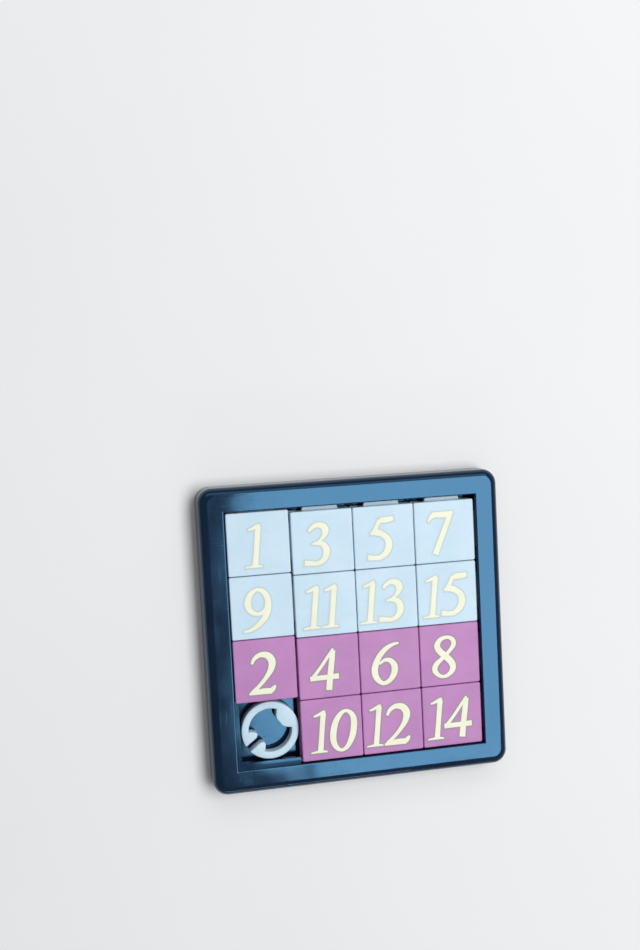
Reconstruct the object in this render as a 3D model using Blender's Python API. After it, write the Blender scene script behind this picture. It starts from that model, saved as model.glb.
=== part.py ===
"""Sliding tile puzzle: a pocket game with fifteen interlocking tiles in a square frame.

The frame is a moulded bezel, open through the middle. Its lip overhangs the tiles' tongues along the
right and upper sides, and a rail along the left and lower sides runs in the tiles' grooves. A back
plate closes it from below and is the floor that the tiles slide on. Each tile has a tongue on its
right and upper edges and a groove along its left and lower edges, so the tiles hold each other in.
A loose split ring lies in the empty cell, at the lower left.

The puzzle lies flat, face up. The origin is under its middle, +X runs to the right along the rows
and +Y to the top row. Units are metres.
"""
import math

import bmesh
import bpy
from mathutils import Vector

MM = 0.001

# Fits between neighbouring pieces.
SEAT_GAP = 0.30 * MM          # left between pieces that rest against each other
TILE_GAP = 0.25 * MM          # between two tiles pushed together
PLAY_X = 0.40 * MM            # what is left over along a full row
PLAY_Y = 0.65 * MM            # what is left over along a full column

# Layout of the tiles as the puzzle lies, top row first; None is the empty cell.
LAYOUT = (
    (1, 3, 5, 7),
    (9, 11, 13, 15),
    (2, 4, 6, 8),
    (None, 10, 12, 14),
)
ROWS = len(LAYOUT)
COLUMNS = len(LAYOUT[0])
RIGHT_COLUMNS_SHIFT = 0.6 * PLAY_X    # how far the columns right of the first have drifted right

# Tile.
TILE_SIDE = 12.75 * MM
TILE_HEIGHT = 3.90 * MM
TILE_CORNER = 0.35 * MM       # corner radius in plan
TILE_TOP_ROUND = 0.30 * MM
TILE_FOOT_CHAMFER = 0.20 * MM
TONGUE_REACH = 1.30 * MM
TONGUE_LENGTH = 7.70 * MM
TONGUE_TAPER = 0.40 * MM      # each end of the tongue leans in by this much
TONGUE_THICKNESS = 1.10 * MM
TONGUE_LEVEL = 2.00 * MM      # middle of the tongue above the tile's underside

# Frame.
FRAME_SIDE = 63.0 * MM
FRAME_HEIGHT = 6.0 * MM
FRAME_CORNER = 3.0 * MM
FRAME_TOP_ROUND = 1.8 * MM
FRAME_FOOT_CHAMFER = 0.3 * MM
LIP_CHAMFER = 0.2 * MM
RAIL_REACH = 1.0 * MM
RAIL_ROOT = 0.8 * MM          # how far the rail's back is sunk into the wall
RECESS_END = 1.5 * MM         # solid corner left beyond each end of the recess under the lip

# Back plate.
PLATE_THICKNESS = 1.4 * MM
PLATE_LEDGE = 1.5 * MM        # width of the frame's foot around the plate
PLATE_CORNER = 1.6 * MM
PEG_RADIUS = 1.0 * MM
PEG_HEIGHT = 2.2 * MM
PEG_INSET = 1.3 * MM          # from the plate's edge to the middle of a peg

# Loose ring.
RING_CLEARANCE = 0.27 * MM    # between the ring and each side of the empty cell
RING_BAND = 1.5 * MM
RING_HEIGHT = 2.4 * MM
RING_EDGE_ROUND = 0.25 * MM
RING_TURN = math.radians(36.0)        # direction of the lobe, opposite the split
RING_SPLIT = 1.4 * MM
LOBE_DEPTH = 2.0 * MM
LOBE_HALF_ANGLE = math.radians(33.5)
KNOB_DEPTH = 1.75 * MM
KNOB_ANGLE = math.radians(34.0)       # from the split to the back of a knob

# Sizes that follow.
TILE_PITCH = TILE_SIDE + TILE_GAP
OPENING_X = COLUMNS * TILE_SIDE + (COLUMNS - 1) * TILE_GAP + 2 * SEAT_GAP + PLAY_X
OPENING_Y = ROWS * TILE_SIDE + (ROWS - 1) * TILE_GAP + 2 * SEAT_GAP + PLAY_Y
FLOOR = PLATE_THICKNESS
TILE_BASE = FLOOR + SEAT_GAP
TONGUE_LOW = TONGUE_LEVEL - TONGUE_THICKNESS / 2
TONGUE_HIGH = TONGUE_LEVEL + TONGUE_THICKNESS / 2
GROOVE_DEPTH = TONGUE_REACH + SEAT_GAP
GROOVE_LOW = TONGUE_LOW - SEAT_GAP
GROOVE_HIGH = TONGUE_HIGH + SEAT_GAP
CELL_WIDTH = SEAT_GAP + TILE_PITCH + RIGHT_COLUMNS_SHIFT - RAIL_REACH    # rail to next tile
RING_RADIUS = CELL_WIDTH / 2 - RING_CLEARANCE
PLATE_HALF = FRAME_SIDE / 2 - PLATE_LEDGE - SEAT_GAP
PEG_PLACE = PLATE_HALF - PEG_INSET
CUT_OVERRUN = 1.0 * MM        # how far a cutter runs past the face that it opens

# Faces along rounded edges.
CORNER_STEPS = 8
TILE_CORNER_STEPS = 3
EDGE_STEPS = 8
TILE_EDGE_STEPS = 3
RING_STEPS = 72
PEG_SIDES = 24

BLUE = (0.020, 0.065, 0.170, 1.0)
WHITE = (0.72, 0.80, 0.88, 1.0)
ORCHID = (0.52, 0.22, 0.52, 1.0)
PLASTIC_ROUGHNESS = 0.25


def clear_scene():
    for item in list(bpy.data.objects):
        bpy.data.objects.remove(item, do_unlink=True)


def plastic(name, colour):
    """A glossy coloured plastic."""
    material = bpy.data.materials.new(name)
    material.use_nodes = True
    shader = material.node_tree.nodes["Principled BSDF"]
    shader.inputs["Base Color"].default_value = colour
    shader.inputs["Roughness"].default_value = PLASTIC_ROUGHNESS
    shader.inputs["Metallic"].default_value = 0.0
    material.diffuse_color = colour
    return material


def mesh_object(name, bm):
    """Put a finished bmesh into a new object."""
    bmesh.ops.recalc_face_normals(bm, faces=bm.faces)
    mesh = bpy.data.meshes.new(name)
    bm.to_mesh(mesh)
    bm.free()
    item = bpy.data.objects.new(name, mesh)
    bpy.context.collection.objects.link(item)
    return item


def rounded_rectangle(low, high, radius, steps):
    """Points counter-clockwise round a rectangle; its corners are arcs, or square when radius is 0."""
    if radius <= 0:
        return [(low[0], low[1]), (high[0], low[1]), (high[0], high[1]), (low[0], high[1])]
    centres = (
        (high[0] - radius, high[1] - radius),
        (low[0] + radius, high[1] - radius),
        (low[0] + radius, low[1] + radius),
        (high[0] - radius, low[1] + radius),
    )
    points = []
    for quarter, (cx, cy) in enumerate(centres):
        for step in range(steps + 1):
            angle = (quarter + step / steps) * math.pi / 2
            points.append((cx + radius * math.cos(angle), cy + radius * math.sin(angle)))
    return points


def square_ring(half, radius, z, steps):
    """A level, rounded square about the Z axis, as 3-D points."""
    flat = rounded_rectangle((-half, -half), (half, half), radius, steps)
    return [(x, y, z) for x, y in flat]


def rectangle_ring(low, high, z):
    return [(x, y, z) for x, y in rounded_rectangle(low, high, 0, 0)]


def loft(name, rings):
    """A closed solid through level rings of equal point count, lowest first."""
    bm = bmesh.new()
    levels = [[bm.verts.new(point) for point in ring] for ring in rings]
    count = len(rings[0])
    for lower, upper in zip(levels, levels[1:]):
        for i in range(count):
            j = (i + 1) % count
            bm.faces.new((lower[i], lower[j], upper[j], upper[i]))
    bm.faces.new(list(reversed(levels[0])))
    bm.faces.new(levels[-1])
    bmesh.ops.remove_doubles(bm, verts=bm.verts, dist=0.001 * MM)
    return mesh_object(name, bm)


def box(name, low, high):
    return loft(name, [rectangle_ring(low[:2], high[:2], low[2]), rectangle_ring(low[:2], high[:2], high[2])])


def prism(name, outline, low, high):
    """A level outline raised from low to high."""
    return loft(name, [[(x, y, z) for x, y in outline] for z in (low, high)])


def cylinder(name, centre, radius, low, high):
    turn = 2 * math.pi / PEG_SIDES
    outline = [
        (centre[0] + radius * math.cos(i * turn), centre[1] + radius * math.sin(i * turn))
        for i in range(PEG_SIDES)
    ]
    return prism(name, outline, low, high)


def boolean(item, tool, operation):
    """Cut a piece with a tool, or join the tool to it, and keep the tool out of the model."""
    tool.hide_render = True
    tool.display_type = "WIRE"
    modifier = item.modifiers.new(tool.name, "BOOLEAN")
    modifier.operation = operation
    modifier.object = tool


def edge_profile(round_radius, steps):
    """(inset, drop) pairs up a convex quarter round, from the side wall to the top face."""
    pairs = []
    for step in range(steps + 1):
        angle = step / steps * math.pi / 2
        pairs.append((round_radius * (1 - math.cos(angle)), round_radius * (1 - math.sin(angle))))
    return pairs


def block(name, half, height, corner, top_round, foot_chamfer, corner_steps, edge_steps):
    """A square block with round corners, a rounded top edge and a chamfered foot."""
    rings = [
        square_ring(half - foot_chamfer, corner - foot_chamfer / 2, 0, corner_steps),
        square_ring(half, corner, foot_chamfer, corner_steps),
    ]
    for inset, drop in edge_profile(top_round, edge_steps):
        radius = max(corner - inset, 0.2 * corner)
        rings.append(square_ring(half - inset, radius, height - drop, corner_steps))
    return loft(name, rings)


def peg_places():
    return [(sx * PEG_PLACE, sy * PEG_PLACE) for sx in (-1, 1) for sy in (-1, 1)]


def opening_cutter():
    """The space inside the frame, with a small chamfer round its upper edge."""
    low = (-OPENING_X / 2, -OPENING_Y / 2)
    high = (OPENING_X / 2, OPENING_Y / 2)
    flare = LIP_CHAMFER + CUT_OVERRUN
    wide_low = (low[0] - flare, low[1] - flare)
    wide_high = (high[0] + flare, high[1] + flare)
    return loft("opening_cutter", [
        rectangle_ring(low, high, -CUT_OVERRUN),
        rectangle_ring(low, high, FRAME_HEIGHT - LIP_CHAMFER),
        rectangle_ring(wide_low, wide_high, FRAME_HEIGHT + CUT_OVERRUN),
    ])


def rail_piece():
    """The L-shaped rail along the left and lower walls, its back and ends sunk into the frame."""
    left = -OPENING_X / 2
    bottom = -OPENING_Y / 2
    back = (left - RAIL_ROOT, bottom - RAIL_ROOT)
    end = (OPENING_X / 2 + RAIL_ROOT, OPENING_Y / 2 + RAIL_ROOT)
    edge = (left + RAIL_REACH, bottom + RAIL_REACH)
    outline = [
        back, (end[0], back[1]), (end[0], edge[1]), edge, (edge[0], end[1]), (back[0], end[1]),
    ]
    return prism("rail_piece", outline, TILE_BASE + TONGUE_LOW, TILE_BASE + TONGUE_HIGH)


def recess_cutters():
    """Room under the lip for the tongues along the right and upper sides."""
    half_x = OPENING_X / 2
    half_y = OPENING_Y / 2
    low = FLOOR - CUT_OVERRUN
    high = TILE_BASE + GROOVE_HIGH
    right = box("right_recess_cutter",
                (half_x - CUT_OVERRUN, -half_y + RECESS_END, low),
                (half_x + GROOVE_DEPTH, half_y - RECESS_END, high))
    upper = box("upper_recess_cutter",
                (-half_x + RECESS_END, half_y - CUT_OVERRUN, low),
                (half_x - RECESS_END, half_y + GROOVE_DEPTH, high))
    return [right, upper]


def rebate_cutter():
    """The shallow square pocket under the frame that takes the back plate."""
    half = PLATE_HALF + SEAT_GAP
    radius = PLATE_CORNER + SEAT_GAP
    ceiling = PLATE_THICKNESS + SEAT_GAP
    return loft("rebate_cutter", [
        square_ring(half, radius, -CUT_OVERRUN, CORNER_STEPS),
        square_ring(half, radius, ceiling, CORNER_STEPS),
    ])


def build_frame(material):
    frame = block("frame", FRAME_SIDE / 2, FRAME_HEIGHT, FRAME_CORNER, FRAME_TOP_ROUND,
                  FRAME_FOOT_CHAMFER, CORNER_STEPS, EDGE_STEPS)
    boolean(frame, opening_cutter(), "DIFFERENCE")
    boolean(frame, rebate_cutter(), "DIFFERENCE")
    for cutter in recess_cutters():
        boolean(frame, cutter, "DIFFERENCE")
    hole_top = PLATE_THICKNESS + PEG_HEIGHT + 2 * SEAT_GAP
    for number, place in enumerate(peg_places(), start=1):
        hole = cylinder(f"peg_hole_cutter_{number}", place, PEG_RADIUS + SEAT_GAP, FLOOR / 2, hole_top)
        boolean(frame, hole, "DIFFERENCE")
    boolean(frame, rail_piece(), "UNION")
    frame.data.materials.append(material)


def build_back_plate(material):
    plate = loft("back_plate", [
        square_ring(PLATE_HALF, PLATE_CORNER, 0, CORNER_STEPS),
        square_ring(PLATE_HALF, PLATE_CORNER, PLATE_THICKNESS, CORNER_STEPS),
    ])
    for number, place in enumerate(peg_places(), start=1):
        top = PLATE_THICKNESS + PEG_HEIGHT
        peg = cylinder(f"peg_{number}", place, PEG_RADIUS, PLATE_THICKNESS / 2, top)
        boolean(plate, peg, "UNION")
    plate.data.materials.append(material)


def groove_cutter():
    """One L-shaped slot along a tile's left and lower edges."""
    outer = -TILE_SIDE / 2 - CUT_OVERRUN
    inner = -TILE_SIDE / 2 + GROOVE_DEPTH
    far = TILE_SIDE / 2 + CUT_OVERRUN
    outline = [(outer, outer), (far, outer), (far, inner), (inner, inner), (inner, far), (outer, far)]
    return prism("groove_cutter", outline, GROOVE_LOW, GROOVE_HIGH)


def tongue_piece():
    """Both tongues of a tile, joined under its face: one on the right, one on the upper edge."""
    root = TONGUE_LENGTH / 2
    tip = root - TONGUE_TAPER
    face = TILE_SIDE / 2
    reach = face + TONGUE_REACH
    outline = [
        (-root, -root), (face, -root), (reach, -tip), (reach, tip), (face, root), (root, root),
        (root, face), (tip, reach), (-tip, reach), (-root, face),
    ]
    return prism("tongue_piece", outline, TONGUE_LOW, TONGUE_HIGH)


def tile_blank():
    """The tile's body, its shape the same for every tile."""
    blank = block("tile_blank", TILE_SIDE / 2, TILE_HEIGHT, TILE_CORNER, TILE_TOP_ROUND,
                  TILE_FOOT_CHAMFER, TILE_CORNER_STEPS, TILE_EDGE_STEPS)
    boolean(blank, groove_cutter(), "DIFFERENCE")
    boolean(blank, tongue_piece(), "UNION")
    depsgraph = bpy.context.evaluated_depsgraph_get()
    shape = bpy.data.meshes.new_from_object(blank.evaluated_get(depsgraph))
    for item in (blank, *[modifier.object for modifier in blank.modifiers]):
        bpy.data.objects.remove(item, do_unlink=True)
    return shape


def tile_centre(row, column):
    """Middle of a cell's tile: the first column sits at the top stop, the others at the bottom stop."""
    x = -OPENING_X / 2 + SEAT_GAP + TILE_SIDE / 2 + column * TILE_PITCH
    y = OPENING_Y / 2 - SEAT_GAP - TILE_SIDE / 2 - row * TILE_PITCH
    if column > 0:
        x += RIGHT_COLUMNS_SHIFT
        y -= PLAY_Y
    return Vector((x, y, TILE_BASE))


def build_tiles(odd_material, even_material):
    shape = tile_blank()
    for row, numbers in enumerate(LAYOUT):
        for column, number in enumerate(numbers):
            if number is None:
                continue
            mesh = shape.copy()
            mesh.materials.append(odd_material if number % 2 else even_material)
            tile = bpy.data.objects.new(f"tile_{number}", mesh)
            tile.location = tile_centre(row, column)
            bpy.context.collection.objects.link(tile)
    bpy.data.meshes.remove(shape)


def swell(offset, half_angle):
    """1 in the middle of a bulge, 0 at its edge, along a half ellipse."""
    share = min(abs(offset) / half_angle, 1.0)
    return math.sqrt(1.0 - share * share)


def ring_inner_radius(angle):
    """Inner radius at an angle from the lobe: thinner at the lobe and at the knobs by the split."""
    from_split = math.pi - abs(angle)
    lobe = LOBE_DEPTH * swell(angle, LOBE_HALF_ANGLE)
    knob = KNOB_DEPTH * swell(from_split - KNOB_ANGLE / 2, KNOB_ANGLE / 2)
    return RING_RADIUS - RING_BAND - lobe - (knob if from_split < KNOB_ANGLE else 0.0)


def ring_outline():
    """Outer points and inner points of the split ring, from one end face round to the other."""
    outer = []
    inner = []
    for step in range(RING_STEPS + 1):
        share = 2 * step / RING_STEPS - 1
        end_outer = math.pi - math.asin(RING_SPLIT / 2 / RING_RADIUS)
        angle = share * end_outer + RING_TURN
        outer.append((RING_RADIUS * math.cos(angle), RING_RADIUS * math.sin(angle)))
        radius = ring_inner_radius(share * end_outer)
        end_inner = math.pi - math.asin(RING_SPLIT / 2 / radius)
        angle = share * end_inner + RING_TURN
        inner.append((radius * math.cos(angle), radius * math.sin(angle)))
    return outer, inner


def build_ring(material):
    outer, inner = ring_outline()
    ring = prism("ring", outer + inner[::-1], 0, RING_HEIGHT)
    bevel = ring.modifiers.new("edge_round", "BEVEL")
    bevel.width = RING_EDGE_ROUND
    bevel.segments = 2
    bevel.limit_method = "ANGLE"
    bevel.angle_limit = math.radians(50)
    ring.location = ring_place()
    ring.data.materials.append(material)


def ring_place():
    """The ring lies on the floor, midway between the left rail and the next tile, by the lower rail."""
    left = -OPENING_X / 2 + RAIL_REACH
    right = tile_centre(ROWS - 1, 1).x - TILE_SIDE / 2
    bottom = -OPENING_Y / 2 + RAIL_REACH
    return Vector(((left + right) / 2, bottom + SEAT_GAP + RING_RADIUS, TILE_BASE))


def main():
    clear_scene()
    blue = plastic("blue_plastic", BLUE)
    white = plastic("white_plastic", WHITE)
    orchid = plastic("orchid_plastic", ORCHID)
    build_frame(blue)
    build_back_plate(blue)
    build_tiles(white, orchid)
    build_ring(white)


main()
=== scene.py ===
"""Looks of the sliding tile puzzle: glossy navy frame, pale blue-white and orchid tiles with
pressed cream numerals, and the loose split ring in the empty cell.

Every piece sits at the origin with its place in its mesh. Lengths are metres.
"""

import math

import bpy
import numpy as np
from mathutils import Matrix, Vector


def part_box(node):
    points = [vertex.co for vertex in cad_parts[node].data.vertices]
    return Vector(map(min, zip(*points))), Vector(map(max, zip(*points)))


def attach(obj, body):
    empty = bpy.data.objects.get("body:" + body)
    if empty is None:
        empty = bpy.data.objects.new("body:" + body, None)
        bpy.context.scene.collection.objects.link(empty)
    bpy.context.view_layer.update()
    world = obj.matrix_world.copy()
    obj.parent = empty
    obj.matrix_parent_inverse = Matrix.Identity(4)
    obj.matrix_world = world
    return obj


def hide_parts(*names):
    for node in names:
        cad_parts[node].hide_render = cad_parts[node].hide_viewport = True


MM = 0.001
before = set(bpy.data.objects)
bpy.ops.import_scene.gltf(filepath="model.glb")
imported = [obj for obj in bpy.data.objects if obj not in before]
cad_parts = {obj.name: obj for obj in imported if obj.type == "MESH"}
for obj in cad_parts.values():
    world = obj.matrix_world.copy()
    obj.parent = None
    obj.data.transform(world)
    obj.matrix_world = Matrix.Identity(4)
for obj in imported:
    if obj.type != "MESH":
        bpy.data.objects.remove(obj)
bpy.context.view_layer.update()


# ---------------------------------------------------------------- shader helpers

class Value:
    """A number coming out of a node; arithmetic on it adds Math nodes."""

    def __init__(self, shop, socket):
        self.shop = shop
        self.socket = socket

    def _math(self, operation, *operands):
        return self.shop.node("ShaderNodeMath", {"operation": operation}, dict(enumerate(operands)))

    def __add__(self, other):
        return self._math("ADD", self, other)

    def __mul__(self, other):
        return self._math("MULTIPLY", self, other)

    def __sub__(self, other):
        return self._math("SUBTRACT", self, other)

    def __rsub__(self, other):
        return self._math("SUBTRACT", other, self)

    __radd__ = __add__
    __rmul__ = __mul__

    def above(self, low, high):
        """0 up to low, 1 from high, and a smooth ramp between."""
        settings = {"interpolation_type": "SMOOTHSTEP"}
        inputs = {"Value": self, "From Min": low, "From Max": high}
        return self.shop.node("ShaderNodeMapRange", settings, inputs)


class Shop:
    """Builds one material's nodes."""

    def __init__(self, name, **fixed):
        self.material = bpy.data.materials.new(name)
        self.material.use_nodes = True
        self.tree = self.material.node_tree
        self.shader = self.tree.nodes["Principled BSDF"]
        self.place = self.node("ShaderNodeTexCoord", output="Object")
        for socket, value in fixed.items():
            self.shader.inputs[socket.replace("_", " ")].default_value = value

    def node(self, kind, settings=None, inputs=None, output=0):
        """One node of any kind: settings first, then values or links for its sockets."""
        node = self.tree.nodes.new(kind)
        for key, value in (settings or {}).items():
            setattr(node, key, value)
        for key, value in (inputs or {}).items():
            if isinstance(value, Value):
                self.tree.links.new(value.socket, node.inputs[key])
            else:
                node.inputs[key].default_value = value
        return Value(self, node.outputs[output])

    def noise(self, size, detail=2.0, stretch=(1.0, 1.0, 1.0)):
        """Cloudy noise with blotches about size across, stretched by axis."""
        scale = tuple(s / size for s in stretch)
        where = self.node("ShaderNodeMapping", {}, {"Vector": self.place, "Scale": scale})
        return self.node("ShaderNodeTexNoise", {}, {"Vector": where, "Scale": 1.0, "Detail": detail})

    def mix(self, amount, first, second):
        """Blend of two colours."""
        node = self.tree.nodes.new("ShaderNodeMix")
        node.data_type = "RGBA"
        sockets = (node.inputs[0], node.inputs[6], node.inputs[7])
        for socket, value in zip(sockets, (amount, first, second)):
            if isinstance(value, Value):
                self.tree.links.new(value.socket, socket)
            else:
                socket.default_value = value
        return Value(self, node.outputs[2])

    def bump(self, height, depth, strength):
        """A normal tilted by the slope of height, where a height of 1 stands depth tall."""
        inputs = {"Height": height, "Distance": depth, "Strength": strength}
        return self.node("ShaderNodeBump", {}, inputs)

    def finish(self, **varying):
        """Link the varying values to the shader and hand back the material."""
        for socket, value in varying.items():
            self.tree.links.new(value.socket, self.shader.inputs[socket.replace("_", " ")])
        return self.material


def rgba(red, green, blue):
    """An opaque colour."""
    return (red, green, blue, 1.0)


# Pairs are the two shades that a plastic drifts between.
WHITE = (rgba(0.490, 0.640, 0.745), rgba(0.535, 0.675, 0.780))
ORCHID = (rgba(0.420, 0.195, 0.430), rgba(0.470, 0.220, 0.465))
CREAM = (rgba(0.765, 0.775, 0.625), rgba(0.735, 0.745, 0.580))
# Painted shade for the pressed rim round each numeral, darker than the tile's plastic.
RIM_SHADE_ON_WHITE = rgba(0.440, 0.535, 0.545)
RIM_SHADE_ON_ORCHID = rgba(0.290, 0.220, 0.275)
NAVY = (rgba(0.0045, 0.0075, 0.021), rgba(0.0065, 0.0110, 0.029))
NAVY_SHEEN = rgba(0.215, 0.59, 1.0)
DUST = rgba(0.10, 0.14, 0.19)
FLOOR = (rgba(0.70, 0.71, 0.72), rgba(0.74, 0.745, 0.75))
ROOM = rgba(0.96, 0.98, 1.0)
MARK_SPACING = 20 * MM
MARK_RADIUS = (1.9, 2.1)                # millimetres, inside and outside a mark's soft edge
MARK_TOP = (0.3 * MM, 0.6 * MM)         # marks fade out over these heights


def moulded_colour(shop, pair):
    """Slow cloudy drift between two shades, with a finer flow streak."""
    cloud = shop.noise(7 * MM, 3.0)
    streak = shop.noise(1.6 * MM, 2.0, (0.25, 1.0, 1.0))
    return shop.mix((cloud * 0.75 + streak * 0.25).above(0.30, 0.70), pair[0], pair[1])


def scuffs(shop):
    """Fine handling marks: long thin noise in two directions."""
    along = shop.noise(0.35 * MM, 3.0, (0.06, 1.0, 1.0))
    across = shop.noise(0.35 * MM, 3.0, (1.0, 0.06, 1.0))
    return along.above(0.58, 0.74) + across.above(0.60, 0.76)


def tile_plastic(name, pair):
    """Moulded tile plastic with a faint orange peel and hairline scuffs."""
    shop = Shop(name, Specular_IOR_Level=0.15, Subsurface_Weight=0.30, Subsurface_Scale=0.9 * MM)
    marks = scuffs(shop)
    peel = shop.noise(0.9 * MM, 2.0)
    return shop.finish(
        Base_Color=moulded_colour(shop, pair),
        Roughness=0.27 + marks * 0.09 + peel * 0.05,
        Normal=shop.bump(peel * 0.7 - marks * 0.15, 0.006 * MM, 0.6),
    )


def numeral_foil(name, pair, rim):
    """Cream foil, and round it the pressed rim in a painted shade that fades from a darker edge into
    the tile's plastic.
    """
    shop = Shop(name, Specular_IOR_Level=0.15)
    edge = shop.node("ShaderNodeAttribute", {"attribute_name": "edge"}, {}, 2)
    grain = shop.noise(0.5 * MM, 3.0)
    foil = shop.mix(shop.noise(2.2 * MM, 2.0).above(0.35, 0.7), CREAM[0], CREAM[1])
    # Painted shade round the foil, fading out into the tile's plastic.
    painted_rim_shade = shop.mix(edge.above(0.0, 1.0), rim, moulded_colour(shop, pair))
    return shop.finish(
        Base_Color=shop.mix(edge.above(-0.6, -0.4), foil, painted_rim_shade),
        Roughness=0.30 + grain * 0.08,
        Normal=shop.bump(grain, 0.005 * MM, 0.5),
    )


def navy_plastic(name, under=False):
    """Deep glossy navy with a blue sheen, dust specks, hairlines and slight waviness."""
    shop = Shop(name, Specular_IOR_Level=0.80, Specular_Tint=NAVY_SHEEN)
    marks = scuffs(shop)
    wave = shop.noise(9 * MM, 1.0)
    dust = shop.noise(0.25 * MM, 4.0).above(0.70, 0.80)
    height = wave * 7.0 + dust * 0.15 - marks * 0.05
    if under:
        height = height - ejector_marks(shop)
    deep = shop.mix(wave.above(0.3, 0.7), NAVY[0], NAVY[1])
    return shop.finish(
        Base_Color=shop.mix(dust * 0.25, deep, DUST),
        Roughness=0.085 + marks * 0.05 + dust * 0.2,
        Normal=shop.bump(height, 0.02 * MM, 0.6),
    )


def ejector_marks(shop):
    """Round moulding marks on the back, on a square lattice: distance from the nearest centre."""
    half = MARK_SPACING / 2
    spread = shop.node("ShaderNodeVectorMath", {"operation": "WRAP"},
                       {0: shop.place, 1: (half, half, 1.0), 2: (-half, -half, -1.0)})
    flat = shop.node("ShaderNodeVectorMath", {"operation": "MULTIPLY"},
                     {0: spread, 1: (1 / MM, 1 / MM, 0.0)})
    away = shop.node("ShaderNodeVectorMath", {"operation": "LENGTH"}, {0: flat}, "Value")
    level = shop.node("ShaderNodeSeparateXYZ", {}, {0: shop.place}, "Z")
    return (1.0 - away.above(*MARK_RADIUS)) * (1.0 - level.above(*MARK_TOP)) * 2.0


# ---------------------------------------------------------------- surface helpers

def add_piece(name, points, faces, material, crease=32.0, values=None):
    """A mesh object from points and faces, smooth up to the crease angle."""
    mesh = bpy.data.meshes.new(name)
    mesh.from_pydata(points.tolist(), [], faces)
    mesh.materials.append(material)
    mesh.polygons.foreach_set("use_smooth", np.ones(len(mesh.polygons), dtype=bool))
    mesh.set_sharp_from_angle(angle=math.radians(crease))
    if values is not None:
        edge = mesh.attributes.new("edge", "FLOAT", "POINT")
        edge.data.foreach_set("value", values.astype(np.float32))
    mesh.update()
    item = bpy.data.objects.new(name, mesh)
    bpy.context.scene.collection.objects.link(item)
    return item


def grid_faces(rows, columns, first=0, close_rows=False, close_columns=True):
    """Quads over a grid of rows by columns of points, joined round where it closes."""
    i = np.arange(rows if close_rows else rows - 1)[:, None]
    j = np.arange(columns if close_columns else columns - 1)[None, :]
    i2 = (i + 1) % rows
    j2 = (j + 1) % columns
    quads = np.stack([i * columns + j, i * columns + j2, i2 * columns + j2, i2 * columns + j], -1)
    return (quads.reshape(-1, 4) + first).tolist()


def band_faces(rows, columns, first, closed):
    """Quads round and along a stack of rings, capped at both ends where it isn't a loop."""
    faces = grid_faces(rows, columns, first, close_rows=closed)
    if not closed:
        faces.append([first + k for k in range(columns)][::-1])
        faces.append([first + (rows - 1) * columns + k for k in range(columns)])
    return faces


def rectangle_loop(low, high, radius, steps):
    """Counter-clockwise points round a rectangle whose corners are quarter circles."""
    turn = np.linspace(0, math.pi / 2, steps)
    quarters = []
    for k, (sx, sy) in enumerate(((1, 1), (-1, 1), (-1, -1), (1, -1))):
        angle = turn + k * math.pi / 2
        cx = (high[0] if sx > 0 else low[0]) - sx * radius
        cy = (high[1] if sy > 0 else low[1]) - sy * radius
        quarters.append(np.stack([cx + radius * np.cos(angle), cy + radius * np.sin(angle)], -1))
    return np.concatenate(quarters)


def stack_levels(levels, steps):
    """Rings of a loft: each level is (low corner, high corner, corner radius, height)."""
    rings = []
    for low, high, radius, z in levels:
        flat = rectangle_loop(low, high, radius, steps)
        rings.append(np.column_stack([flat, np.full(len(flat), z)]))
    return np.array(rings)


def quarter(count):
    """(1 - cos, 1 - sin) pairs from a side wall (0, 1) to a level face (1, 0)."""
    angle = np.linspace(0, math.pi / 2, count)
    return np.stack([1 - np.cos(angle), 1 - np.sin(angle)], -1)


# ---------------------------------------------------------------- frame

FRAME_ROUND = 1.8 * MM
FRAME_CORNER = 3.0 * MM
CORNER_SHARPENING = 0.9       # how fast the corner radius shrinks as a level moves in
FOOT_ROUND = 0.3 * MM
LIP_ROUND = 0.25 * MM
LIP_CORNER = 0.12 * MM
TILE_TO_LIP = 0.3 * MM
LEDGE = 1.5 * MM
RAIL_REACH = 1.0 * MM
RECESS_REACH = 1.6 * MM
RAIL_LOW, RAIL_HIGH = 3.15 * MM, 4.25 * MM
LIP_LOW = 4.55 * MM
REBATE_HIGH = 1.7 * MM
HOLD = 0.07 * MM              # a narrow band beside each round, which keeps the flats flat
FRAME_STEPS = 14


def frame_levels():
    """The bezel's cross-section carried round a square: foot, wall, top round, flat, lip, then the
    recess on the far sides or the rail on the near ones, and the rebate for the back plate."""
    low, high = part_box("frame")
    top = high.z
    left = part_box("tile_1")[0].x - TILE_TO_LIP
    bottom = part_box("tile_10")[0].y - TILE_TO_LIP

    def outer(inset, z):
        radius = FRAME_CORNER - inset * CORNER_SHARPENING
        return ((low.x + inset, low.y + inset), (high.x - inset, high.y - inset), radius, z)

    def inner(grow_low, grow_high, z):
        return ((left - grow_low, bottom - grow_low), (grow_high - left, grow_high - bottom),
                LIP_CORNER, z)

    levels = [outer(FOOT_ROUND * a, FOOT_ROUND * b) for a, b in quarter(4)[::-1]]
    levels += [outer(FRAME_ROUND * a, top - FRAME_ROUND * b) for a, b in quarter(17)]
    levels += [outer(FRAME_ROUND + HOLD, top), inner(LIP_ROUND + HOLD, LIP_ROUND + HOLD, top)]
    levels += [inner(LIP_ROUND * a, LIP_ROUND * a, top - LIP_ROUND * b)
               for a, b in quarter(5)[::-1]]
    levels += [
        inner(0, 0, LIP_LOW), inner(0, RECESS_REACH, LIP_LOW), inner(0, RECESS_REACH, RAIL_HIGH),
        inner(-RAIL_REACH, RECESS_REACH, RAIL_HIGH), inner(-RAIL_REACH, RECESS_REACH, RAIL_LOW),
        inner(0, RECESS_REACH, RAIL_LOW), inner(0, RECESS_REACH, REBATE_HIGH),
        outer(LEDGE, REBATE_HIGH), outer(LEDGE, 0.0),
    ]
    return levels


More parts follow.
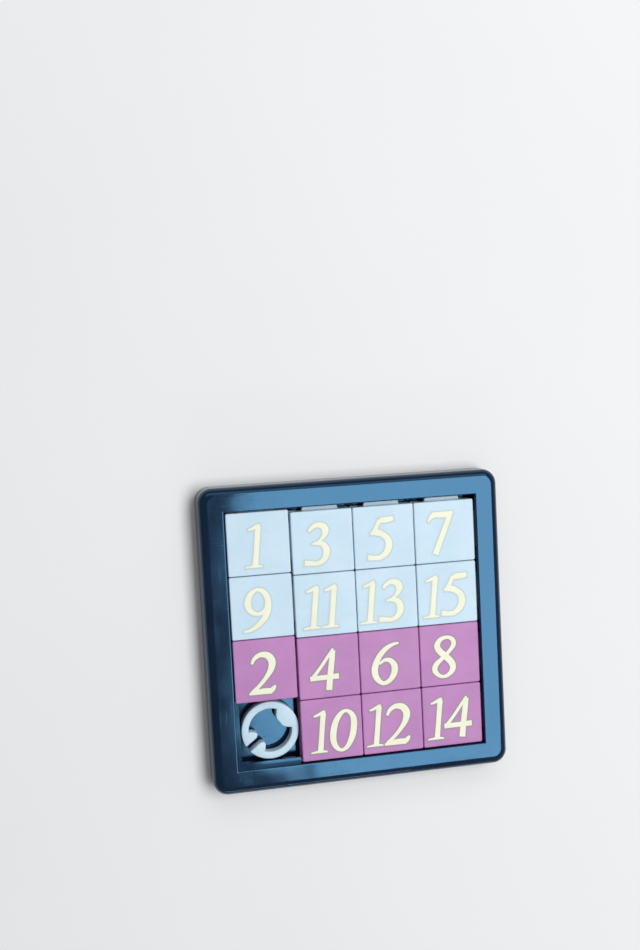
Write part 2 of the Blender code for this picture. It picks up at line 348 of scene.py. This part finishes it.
def build_frame(material):
    """The bezel, with its last level joined back to its first."""
    rings = stack_levels(frame_levels(), FRAME_STEPS)
    faces = band_faces(*rings.shape[:2], 0, True)
    piece = add_piece("frame_bezel", rings.reshape(-1, 3), faces, material)
    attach(piece, "case")
    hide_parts("frame")


# ---------------------------------------------------------------- tiles

TILE_SIDE = 12.75 * MM
TILE_SPREAD = 0.05 * MM       # each wall stands this much further out, which narrows the gaps
TILE_CORNER = 0.34 * MM
TILE_CORNER_LEAST = 0.08 * MM
TILE_ROUND = 0.24 * MM
TILE_FOOT = 0.2 * MM
GROOVE_DEPTH = 1.6 * MM
GROOVE_LOW, GROOVE_HIGH = 1.15 * MM, 2.85 * MM
TONGUE_LOW, TONGUE_HIGH = 1.45 * MM, 2.55 * MM
TONGUE_ROOT = 3.85 * MM
TONGUE_TIP = 3.45 * MM
TONGUE_REACH = 1.3 * MM
TONGUE_BURIED = 1.0 * MM
TONGUE_EDGE = 0.12 * MM
TILE_STEPS = 6


def tile_levels(height):
    """The block's profile: foot, groove cut into the left and lower sides, wall, top round."""
    def ring(inset, z, groove=0.0):
        radius = max(TILE_CORNER - inset, TILE_CORNER_LEAST)
        near, far = inset + groove - TILE_SPREAD, TILE_SIDE + TILE_SPREAD - inset
        return ((near, near), (far, far), radius, z)

    levels = [ring(TILE_FOOT * a, TILE_FOOT * b) for a, b in quarter(3)[::-1]]
    levels += [ring(0, GROOVE_LOW), ring(0, GROOVE_LOW, GROOVE_DEPTH),
               ring(0, GROOVE_HIGH, GROOVE_DEPTH), ring(0, GROOVE_HIGH)]
    levels += [ring(TILE_ROUND * a, height - TILE_ROUND * b) for a, b in quarter(8)]
    levels += [ring(TILE_ROUND + HOLD, height)]
    return levels


def tongue_rings():
    """The two tongues as one L-shaped slab with softened edges, in tile coordinates."""
    middle = TILE_SIDE / 2
    face = middle - TONGUE_BURIED
    reach = middle + TONGUE_REACH
    root, tip = TONGUE_ROOT, TONGUE_TIP
    outline = np.array([
        (-root, -root), (face, -root), (middle, -root), (reach, -tip), (reach, tip),
        (middle, root), (root, root), (root, middle), (tip, reach), (-tip, reach),
        (-root, middle), (-root, face),
    ]) + middle
    centre = outline.mean(axis=0)
    rings = []
    for shrink, z in ((TONGUE_EDGE, TONGUE_LOW), (0, TONGUE_LOW + TONGUE_EDGE),
                      (0, TONGUE_HIGH - TONGUE_EDGE), (TONGUE_EDGE, TONGUE_HIGH)):
        away = outline - centre
        flat = centre + away * (1 - shrink / np.linalg.norm(away, axis=1, keepdims=True))
        rings.append(np.column_stack([flat, np.full(len(flat), z)]))
    return np.array(rings)


def build_tile(number, material):
    """The block and its tongues, set at the lower left corner of the tile's box."""
    low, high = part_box(f"tile_{number}")
    block = stack_levels(tile_levels(high.z - low.z), TILE_STEPS)
    tongue = tongue_rings()
    block_points = block.reshape(-1, 3)
    points = np.concatenate([block_points, tongue.reshape(-1, 3)]) + np.array(low)
    faces = band_faces(*block.shape[:2], 0, False)
    faces += band_faces(*tongue.shape[:2], len(block_points), False)
    piece = add_piece(f"tile_{number}_body", points, faces, material)
    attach(piece, f"tile_{number}")
    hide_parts(f"tile_{number}")


# ---------------------------------------------------------------- numerals

# Each digit is a set of strokes; a stroke is a list of (x, y, half width) in millimetres from the
# tile's middle, and a stroke that ends where it starts is a loop.
DIGITS = {
    "1": [
        [(0.12, 3.50, 0.52), (-0.10, 1.80, 0.50), (-0.45, -1.20, 0.48), (-0.85, -4.55, 0.52)],
        [(-1.95, 2.85, 0.16), (-1.05, 3.12, 0.26), (0.10, 3.62, 0.30), (0.50, 3.86, 0.14)],
        [(-2.85, -4.74, 0.13), (-1.60, -4.62, 0.22), (-0.90, -4.50, 0.36), (-0.20, -4.62, 0.22),
         (0.65, -4.74, 0.13)],
    ],
    "2": [
        [(-2.75, 1.45, 0.24), (-2.10, 2.55, 0.36), (-0.85, 3.22, 0.46), (0.60, 2.95, 0.62),
         (1.45, 1.70, 0.68), (1.15, 0.05, 0.56), (0.10, -1.55, 0.40), (-1.35, -3.10, 0.34),
         (-2.95, -4.45, 0.34)],
        [(-3.55, -4.72, 0.20), (-2.40, -4.48, 0.42), (-0.60, -4.36, 0.54), (1.15, -4.42, 0.52)],
        [(0.95, -4.55, 0.38), (1.45, -3.95, 0.42), (1.95, -3.35, 0.16)],
    ],
    "3": [
        [(-2.75, 2.25, 0.22), (-2.10, 3.00, 0.32), (-1.00, 3.45, 0.44), (0.20, 3.15, 0.58),
         (0.68, 2.25, 0.62), (0.40, 1.25, 0.44), (-0.30, 0.45, 0.26), (-0.95, 0.05, 0.18)],
        [(-2.20, -0.42, 0.12), (-1.10, -0.28, 0.34), (0.00, -0.55, 0.50), (0.68, -1.55, 0.60),
         (0.62, -2.80, 0.60), (-0.05, -3.85, 0.46), (-1.25, -4.42, 0.38), (-2.60, -4.30, 0.42),
         (-3.90, -4.18, 0.48)],
    ],
    "4": [
        [(1.05, 3.70, 0.22), (-0.25, 1.95, 0.30), (-1.80, -0.05, 0.30), (-3.60, -2.15, 0.34)],
        [(-4.05, -2.20, 0.46), (-1.80, -2.16, 0.46), (0.40, -2.14, 0.48), (2.00, -2.10, 0.52)],
        [(0.95, 3.35, 0.52), (0.60, 0.80, 0.54), (0.15, -2.10, 0.56), (-0.20, -4.85, 0.58)],
    ],
    "5": [
        [(2.10, 3.62, 0.42), (0.80, 3.46, 0.52), (-0.70, 3.40, 0.50)],
        [(-0.80, 3.55, 0.38), (-1.45, 2.30, 0.36), (-2.15, 0.95, 0.42)],
        [(-2.85, 0.72, 0.26), (-1.65, 0.98, 0.56), (-0.25, 0.42, 0.52), (0.75, -0.70, 0.60),
         (0.92, -2.05, 0.64), (0.30, -3.35, 0.56), (-0.95, -4.25, 0.44), (-2.30, -4.30, 0.44),
         (-3.60, -4.10, 0.48)],
    ],
    "6": [
        [(2.00, 3.55, 0.20), (0.70, 3.30, 0.32), (-0.90, 2.45, 0.46), (-2.40, 0.80, 0.54),
         (-3.30, -1.40, 0.62), (-3.05, -3.30, 0.56), (-1.75, -4.62, 0.38), (-0.30, -4.20, 0.44),
         (0.75, -2.80, 0.58), (0.92, -1.20, 0.60), (0.10, -0.02, 0.46), (-1.10, 0.20, 0.32),
         (-2.30, -0.55, 0.22)],
    ],
    "7": [
        [(-3.45, 2.20, 0.16), (-3.00, 2.95, 0.30), (-2.40, 3.55, 0.50)],
        [(-2.60, 3.70, 0.42), (-0.60, 3.58, 0.54), (0.80, 3.62, 0.52), (1.95, 3.95, 0.22)],
        [(1.35, 3.55, 0.46), (0.30, 1.10, 0.50), (-0.85, -1.60, 0.50), (-2.15, -4.60, 0.56)],
    ],
    "8": [
        [(-0.45, 3.72, 0.32), (0.70, 3.15, 0.42), (0.90, 2.05, 0.46), (0.05, 0.85, 0.36),
         (-1.50, -0.55, 0.36), (-3.05, -1.90, 0.50), (-3.35, -3.20, 0.50), (-2.25, -4.40, 0.34),
         (-0.85, -4.45, 0.34), (0.40, -3.40, 0.52), (0.48, -2.05, 0.62), (-0.65, -0.55, 0.62),
         (-2.00, 0.70, 0.60), (-2.68, 2.00, 0.58), (-1.95, 3.30, 0.42), (-0.45, 3.72, 0.32)],
    ],
    "9": [
        [(-0.80, 3.60, 0.30), (0.55, 3.00, 0.48), (1.30, 1.40, 0.54), (0.85, -0.60, 0.46),
         (-0.75, -1.38, 0.32), (-2.25, -0.75, 0.46), (-2.85, 0.90, 0.60), (-2.20, 2.75, 0.46),
         (-0.80, 3.60, 0.30)],
        [(1.38, 1.50, 0.48), (1.30, -0.40, 0.54), (0.60, -2.05, 0.54), (-0.75, -3.50, 0.44),
         (-2.40, -4.50, 0.30), (-4.00, -4.82, 0.14)],
    ],
    "0": [
        [(0.70, 3.45, 0.30), (1.95, 2.55, 0.48), (2.30, 0.80, 0.60), (1.85, -1.90, 0.58),
         (0.75, -4.00, 0.44), (-0.55, -4.75, 0.30), (-1.80, -3.85, 0.48), (-2.25, -1.90, 0.60),
         (-1.75, 0.85, 0.58), (-0.60, 2.75, 0.44), (0.70, 3.45, 0.30)],
    ],
}

# Where each digit of a number stands, in millimetres to the right of the tile's middle.
DIGIT_SHIFTS = {
    10: (-1.80, 2.40), 11: (-1.95, 1.85), 12: (-2.90, 1.60),
    13: (-3.00, 2.05), 14: (-2.65, 2.20), 15: (-2.55, 2.25),
}

# Millimetres, like the strokes.
STROKE_STEPS = 12
STROKE_WEIGHT = 1.12          # times the half widths above
STROKE_LIFT = 0.004           # each further stroke lies this much higher, so that none share a face
FOIL_HEIGHT = 0.030
BURIED = -0.05                # both long edges of a band lie this far under the tile's face
RIM_WIDTH = 0.55
RIM_STEPS = 6

# Profiles across a band. Foil: place as a share of the half width, and height as a share of the
# foil's. Rim: side, and distance outside the foil as a share of the rim's width.
FOIL_ACROSS = np.array([1.0, 1.0, 0.86, 0.45, -0.45, -0.86, -1.0, -1.0])
FOIL_PROFILE = np.array([0, 0.55, 0.92, 1.0, 1.0, 0.92, 0.55, 0])
RIM_SIDE = np.array([1, 1, 1, 1, 1, -1, -1, -1, -1, -1])
RIM_OUTSIDE = np.array([1.0, 1.0, 0.66, 0.33, 0.0, 0.0, 0.33, 0.66, 1.0, 1.0])
RIM_HIGH, RIM_SUNK = 0.60, 0.10       # shares of the foil's height, at the rim's inside and outside


def smooth_path(points, closed):
    """Catmull-Rom curve through (x, y, half width) points: a cubic in each span."""
    points = np.array(points, dtype=float)
    if closed:
        points = points[:-1]
        before, after = np.roll(points, 1, 0), np.roll(points, -1, 0)
        beyond = np.roll(points, -2, 0)
    else:
        extra = [2 * points[0] - points[1]], [2 * points[-1] - points[-2]]
        ends = np.concatenate([extra[0], points, extra[1]])
        before, points, after, beyond = ends[:-3], ends[1:-2], ends[2:-1], ends[3:]
    t = np.linspace(0, 1, STROKE_STEPS, endpoint=False)[None, :, None]
    b, p, a, e = (array[:, None, :] for array in (before, points, after, beyond))
    curve = 0.5 * (2 * p + (a - b) * t + (2 * b - 5 * p + 4 * a - e) * t**2
                   + (3 * p - b - 3 * a + e) * t**3)
    curve = curve.reshape(-1, 3)
    return curve if closed else np.concatenate([curve, after[-1:]])


def path_sides(path, closed):
    """Unit vectors at each point of the path: across it, to its left, and along it."""
    if closed:
        ahead = np.roll(path, -1, 0) - np.roll(path, 1, 0)
    else:
        ahead = np.gradient(path, axis=0)
    ahead = ahead[:, :2] / np.linalg.norm(ahead[:, :2], axis=1, keepdims=True)
    return np.column_stack([-ahead[:, 1], ahead[:, 0]]), ahead


def stroke_band(points, rim):
    """A stroke as a closed band: a flat profile carried along its path, with a value for how far
    outside the foil each point is. The foil stands a hair above the face, and the rim slopes into it.
    The band climbs a few microns on its way, so that it crosses itself without sharing a face."""
    closed = points[0] == points[-1]
    count = RIM_STEPS
    path = smooth_path(points, closed) * (1, 1, STROKE_WEIGHT)
    outside = np.zeros(len(path))
    if rim and not closed:
        _, ahead = path_sides(path, closed)
        steps = np.linspace(RIM_WIDTH, 0.1 * RIM_WIDTH, count)[:, None]
        start = np.column_stack([path[0, :2] - ahead[0] * steps, np.full(count, path[0, 2])])
        end = np.column_stack([path[-1, :2] + ahead[-1] * steps[::-1], np.full(count, path[-1, 2])])
        path = np.concatenate([start, path, end])
        outside = np.concatenate([steps[:, 0], outside, steps[::-1, 0]]) / RIM_WIDTH
    side, _ = path_sides(path, closed)
    if rim:
        across = RIM_SIDE * (path[:, 2:3] + RIM_OUTSIDE * RIM_WIDTH)
        value = np.maximum(outside[:, None], RIM_OUTSIDE)
        height = FOIL_HEIGHT * (RIM_HIGH * (1 - value) - RIM_SUNK * value)
    else:
        across = FOIL_ACROSS * path[:, 2:3]
        value = np.full(across.shape, -1.0)
        height = np.tile(FOIL_HEIGHT * FOIL_PROFILE, (len(path), 1))
    share = np.linspace(0, 1, len(path))
    climb = 0.5 - 0.5 * np.cos(2 * math.pi * share) if closed else share
    height = height + STROKE_LIFT * climb[:, None]
    height[:, [0, -1]] = BURIED
    flat = path[:, None, :2] + side[:, None, :] * across[:, :, None]
    return np.dstack([flat, height]), value, closed


def build_numeral(number, material):
    """All strokes of a tile's number, foil and rim, lying on the tile's face."""
    low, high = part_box(f"tile_{number}")
    middle = np.array([low.x + TILE_SIDE / 2, low.y + TILE_SIDE / 2, high.z])
    points, values, faces, count = [], [], [], 0
    for digit, shift in zip(str(number), DIGIT_SHIFTS.get(number, (0.0,))):
        for layer, stroke in enumerate(DIGITS[digit]):
            for rim in (False, True):
                grid, value, closed = stroke_band(stroke, rim)
                rows, columns = grid.shape[:2]
                points.append(grid.reshape(-1, 3) + (shift, 0, layer * STROKE_LIFT))
                values.append(value.reshape(-1))
                faces += band_faces(rows, columns, count, closed)
                count += rows * columns
    placed = np.concatenate(points) * MM + middle
    piece = add_piece(f"numeral_{number}", placed, faces, material, 50.0, np.concatenate(values))
    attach(piece, f"tile_{number}")


# ---------------------------------------------------------------- ring

RING_BAND = 1.5 * MM
RING_TURN = math.radians(36)  # where the lobe points, from the right towards the back
SPLIT = 1.4 * MM
RING_EDGE = 0.28 * MM
RING_STEPS = 241
EDGE_STEPS = 5
LOBE_DEPTH, LOBE_ANGLE = 2.0 * MM, math.radians(33.5)
KNOB_DEPTH, KNOB_ANGLE = 1.75 * MM, math.radians(17)


def ring_inner(angle, radius):
    """Inner radius at an angle from the lobe: the broad lobe stands in from it on a blunt swell, and
    each end by the split carries a round knob."""
    from_split = math.pi - np.abs(angle)
    lobe = LOBE_DEPTH * np.sqrt(np.clip(1 - (np.abs(angle) / LOBE_ANGLE) ** 4, 0, 1))
    knob_share = np.clip((from_split - KNOB_ANGLE) / KNOB_ANGLE, -1, 1)
    knob = KNOB_DEPTH * np.sqrt(1 - knob_share ** 2)
    return radius - RING_BAND - lobe - knob


def build_ring(material):
    """A rounded rectangular section carried round the split circle, from one end to the other."""
    low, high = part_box("ring")
    radius = (high.x - low.x) / 2
    share = np.linspace(-1, 1, RING_STEPS)
    outer_angle = share * (math.pi - math.asin(SPLIT / 2 / radius))
    inner = ring_inner(outer_angle, radius)
    inner_angle = share * (math.pi - np.arcsin(SPLIT / 2 / inner))
    outer_angle, inner_angle = outer_angle + RING_TURN, inner_angle + RING_TURN
    outward = np.stack([np.cos(outer_angle), np.sin(outer_angle)], -1) * radius
    inward = np.stack([np.cos(inner_angle), np.sin(inner_angle)], -1) * inner[:, None]
    span = np.linalg.norm(outward - inward, axis=1)
    corner = RING_EDGE * quarter(EDGE_STEPS)
    height = high.z - low.z
    section = np.concatenate([
        np.column_stack([corner[:, 0], height - corner[:, 1]]),
        np.column_stack([-corner[::-1, 0], height - corner[::-1, 1]]),
        np.column_stack([-corner[:, 0], corner[:, 1]]),
        np.column_stack([corner[::-1, 0], corner[::-1, 1]]),
    ])
    from_inner = np.repeat([0, 1, 1, 0], EDGE_STEPS)
    fraction = from_inner + section[:, 0] / span[:, None]
    flat = outward[:, None] + (inward - outward)[:, None] * fraction[:, :, None]
    grid = np.dstack([flat, np.tile(section[:, 1], (len(share), 1))])
    rows, columns = grid.shape[:2]
    centre = np.array([(low.x + high.x) / 2, (low.y + high.y) / 2, low.z])
    faces = [face[::-1] for face in band_faces(rows, columns, 0, False)]
    piece = add_piece("split_ring", grid.reshape(-1, 3) + centre, faces, material, 40.0)
    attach(piece, "ring")
    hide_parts("ring")


# ---------------------------------------------------------------- stage

CAMERA_PLACE = Vector((-62.2, 57.2, 266.9)) * MM
CAMERA_AIM = Vector((-6.27, 32.78, 5.6)) * MM
CAMERA_ROLL = math.radians(2.93)
CAMERA_LENS = 74.4
ROOM_STRENGTH = 0.26
FLOOR_DROP = 0.05 * MM
FLOOR_REACH = 1.5
FLOOR_POINTS = 9

# Lamps: centre, size, power in watts, and the point each one faces.
LAMPS = {
    "soft_box": ((0.411, 0.1275, 1.0), (0.578, 0.945), 11.7, (0.411, 0.1275, 0.0)),
    "soft_box_foot": ((0.44, -0.365, 1.0), (0.52, 0.04), 0.50, (0.44, -0.365, 0.0)),
    "front_strip": ((0.0, -0.62, 0.20), (0.35, 0.025), 0.25, (0.0, 0.0, 0.0)),
    "back_card": ((0.05, 0.58, 0.50), (0.90, 0.35), 1.2, (0.0, 0.0, 0.0)),
}


def place_camera():
    """The camera stands above the upper left of the puzzle and looks down past its top row."""
    data = bpy.data.cameras.new("camera")
    data.lens = CAMERA_LENS
    data.sensor_width = 36.0
    data.sensor_fit = "HORIZONTAL"
    camera = bpy.data.objects.new("camera", data)
    back = (CAMERA_PLACE - CAMERA_AIM).normalized()
    right = Vector((0, 1, 0)).cross(back).normalized()
    upright = Matrix((right, back.cross(right), back)).transposed()
    turn = upright @ Matrix.Rotation(-CAMERA_ROLL, 3, "Z")
    camera.matrix_world = Matrix.Translation(CAMERA_PLACE) @ turn.to_4x4()
    bpy.context.scene.collection.objects.link(camera)
    bpy.context.scene.camera = camera


def soft_box(name, centre, size, power, aim):
    """A flat rectangular lamp, turned to face a point."""
    data = bpy.data.lights.new(name, "AREA")
    data.shape = "RECTANGLE"
    data.size, data.size_y = size
    data.energy = power
    lamp = bpy.data.objects.new(name, data)
    lamp.location = centre
    lamp.rotation_euler = (Vector(aim) - Vector(centre)).to_track_quat("-Z", "Y").to_euler()
    bpy.context.scene.collection.objects.link(lamp)


def light_stage():
    """An even room, a soft box overhead to the right with a narrow foot in front of it, a card
    behind the top row and a thin low strip in front."""
    world = bpy.data.worlds.new("room")
    bpy.context.scene.world = world
    world.use_nodes = True
    background = world.node_tree.nodes["Background"]
    background.inputs["Color"].default_value = ROOM
    background.inputs["Strength"].default_value = ROOM_STRENGTH
    for name, settings in LAMPS.items():
        soft_box(name, *settings)


def build_floor():
    """A pale matt sheet under the puzzle, gently uneven in tone."""
    shop = Shop("pale_sheet", Specular_IOR_Level=0.2)
    tone = shop.noise(60 * MM, 3.0)
    shop.finish(Base_Color=shop.mix(tone, FLOOR[0], FLOOR[1]), Roughness=0.75 + tone * 0.1)
    edge = np.linspace(-FLOOR_REACH, FLOOR_REACH, FLOOR_POINTS)
    x, y = np.meshgrid(edge, edge)
    points = np.stack([x, y, np.full_like(x, -FLOOR_DROP)], -1).reshape(-1, 3)
    faces = grid_faces(FLOOR_POINTS, FLOOR_POINTS, close_columns=False)
    floor = add_piece("floor", points, faces, shop.material)


def main():
    """Every piece of the puzzle, then the stage."""
    bpy.context.scene.view_settings.view_transform = "Standard"
    white = tile_plastic("white_plastic_finish", WHITE)
    orchid = tile_plastic("orchid_plastic_finish", ORCHID)
    foil_on_white = numeral_foil("numeral_on_white", WHITE, RIM_SHADE_ON_WHITE)
    foil_on_orchid = numeral_foil("numeral_on_orchid", ORCHID, RIM_SHADE_ON_ORCHID)
    build_frame(navy_plastic("navy_plastic_finish"))
    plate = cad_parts["back_plate"]
    plate.data.materials[0] = navy_plastic("navy_plate_finish", under=True)
    for number in range(1, 16):
        odd = number % 2 == 1
        build_tile(number, white if odd else orchid)
        build_numeral(number, foil_on_white if odd else foil_on_orchid)
    build_ring(white)
    build_floor()
    place_camera()
    light_stage()


main()
